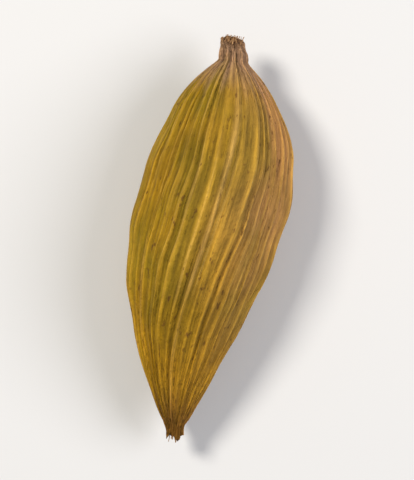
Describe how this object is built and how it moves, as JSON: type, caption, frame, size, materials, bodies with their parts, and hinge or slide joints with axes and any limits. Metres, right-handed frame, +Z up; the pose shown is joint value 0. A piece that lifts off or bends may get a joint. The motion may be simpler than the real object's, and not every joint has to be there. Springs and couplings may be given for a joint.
{
  "type": "green cardamom pod",
  "caption": "Closed dried seed pod with three rounded sides, ribs from end to end, a short stalk stub and a thin beak.",
  "frame": {"origin": "centre of the pod's length and width, on the surface that it lies on", "axes": "+X along the pod from the stalk stub to the beak, +Z up, +Y across the pod"},
  "size_m": [0.017, 0.0064, 0.0056],
  "materials": {
    "husk": "dry fibrous papery husk, olive to straw"
  },
  "bodies": {
    "root": {"cardamom_pod": "husk"}
  },
  "joints": []
}
